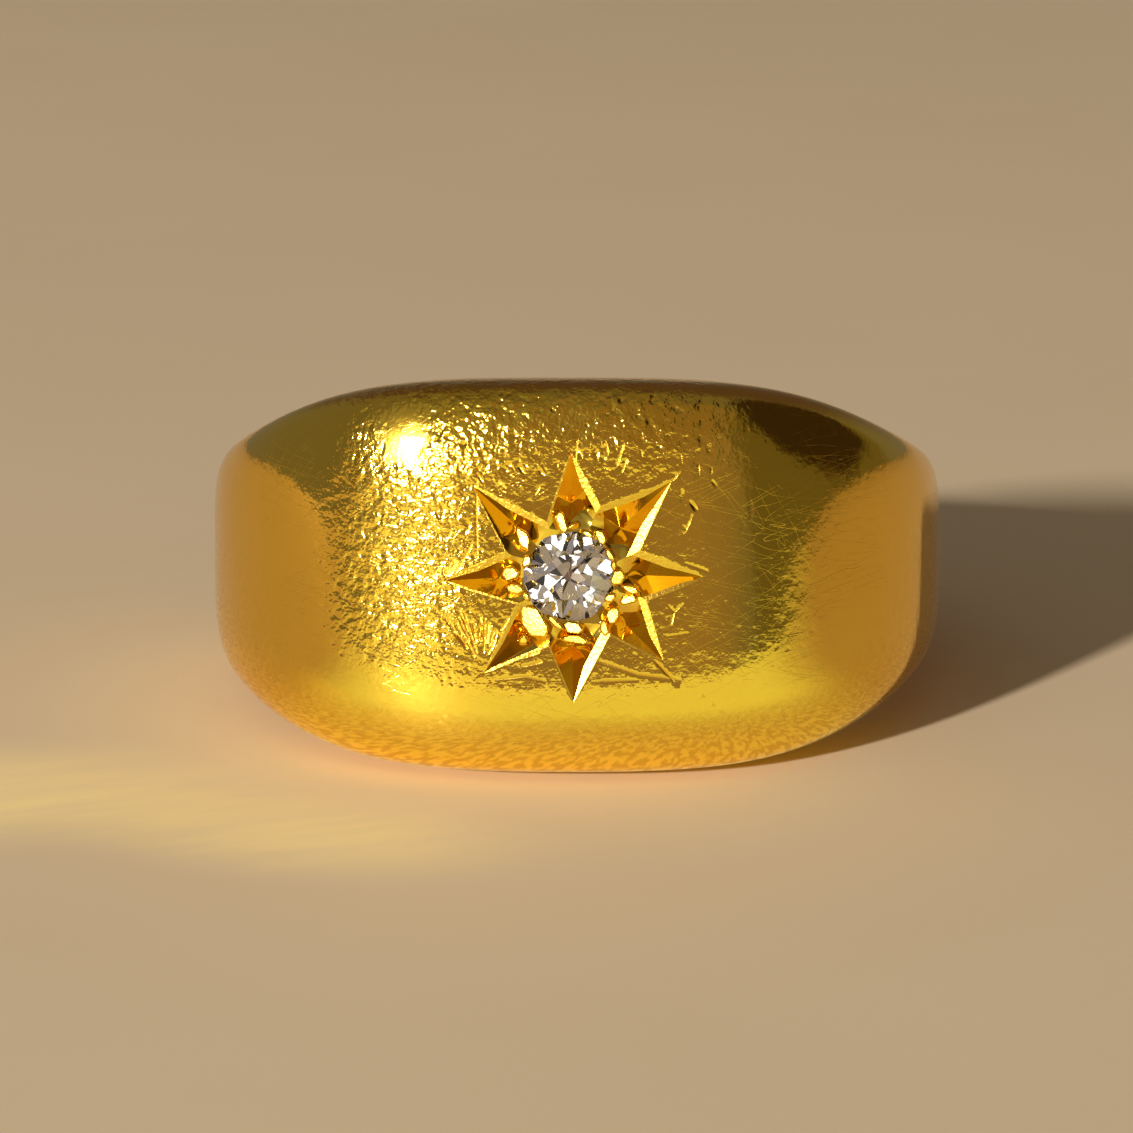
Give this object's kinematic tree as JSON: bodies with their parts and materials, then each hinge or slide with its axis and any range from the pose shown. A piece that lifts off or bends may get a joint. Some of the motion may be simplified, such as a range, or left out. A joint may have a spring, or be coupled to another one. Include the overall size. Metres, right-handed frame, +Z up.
{
  "type": "signet ring",
  "caption": "Heavy yellow gold finger ring with a broad flared head, an engraved star on its face and an old-cut diamond held by grains in the star.",
  "frame": {"origin": "on the floor, below the middle of the ring as it lies on its side", "axes": "+Z up from the floor, -Y the way the head's face points, +X to the right of the head seen from its front"},
  "size_m": [0.021, 0.0216, 0.0108],
  "materials": {
    "gold": "old polished 18 carat yellow gold, worn soft with fine scratches",
    "diamond": "polished facets"
  },
  "bodies": {
    "root": {"ring_body": "gold", "diamond": "diamond"}
  },
  "joints": []
}
